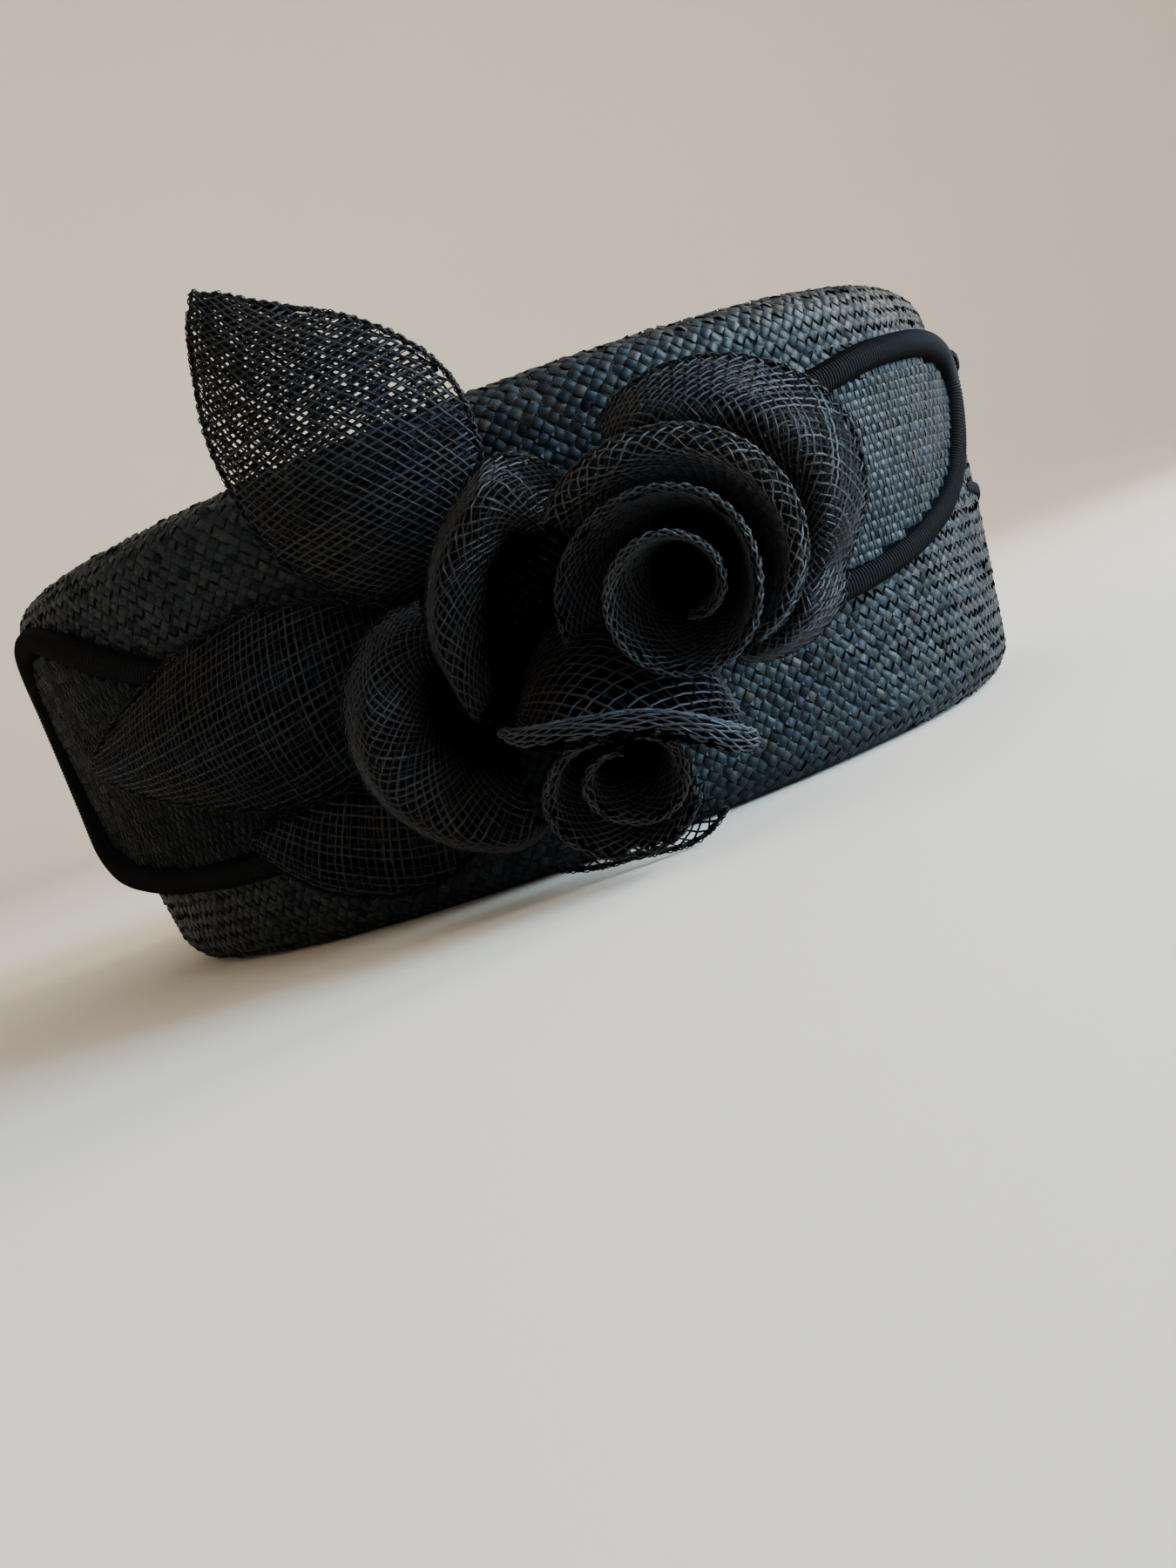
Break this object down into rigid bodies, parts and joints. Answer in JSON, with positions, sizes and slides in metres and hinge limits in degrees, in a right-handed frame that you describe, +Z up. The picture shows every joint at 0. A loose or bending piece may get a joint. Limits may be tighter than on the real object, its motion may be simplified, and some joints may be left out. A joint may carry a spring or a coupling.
{
  "type": "pillbox hat",
  "caption": "Oval pillbox hat of dark woven straw with raised side panels, ribbed ribbon piping and a spray of sinamay roses and leaves on one side, open underneath for the head",
  "frame": {"origin": "middle of the head opening, on the plane of the rim", "axes": "+Z up through the crown, +X the front of the hat, -Y the trimmed side"},
  "size_m": [0.272, 0.2787, 0.1415],
  "materials": {
    "straw": "glossy flat straw in a plain weave, near-black",
    "ribbon": "ribbed matte petersham, black-navy",
    "sinamay": "stiffened open-weave sinamay, near-black"
  },
  "bodies": {
    "root": {"crown": "straw", "panel_front": "straw", "panel_back": "straw", "ribbon_front_loop": "ribbon", "ribbon_back_loop": "ribbon", "ribbon_far_upper": "ribbon", "ribbon_far_lower": "ribbon", "leaf_upright": "sinamay", "leaf_back": "sinamay", "leaf_low": "sinamay", "rose_upper_heart": "sinamay", "rose_upper_wrap": "sinamay", "rose_upper_back_petal": "sinamay", "rose_upper_left_petal": "sinamay", "rose_lower_heart": "sinamay", "rose_lower_hood": "sinamay", "rose_lower_left_petal": "sinamay", "rose_lower_skirt": "sinamay"}
  },
  "joints": []
}
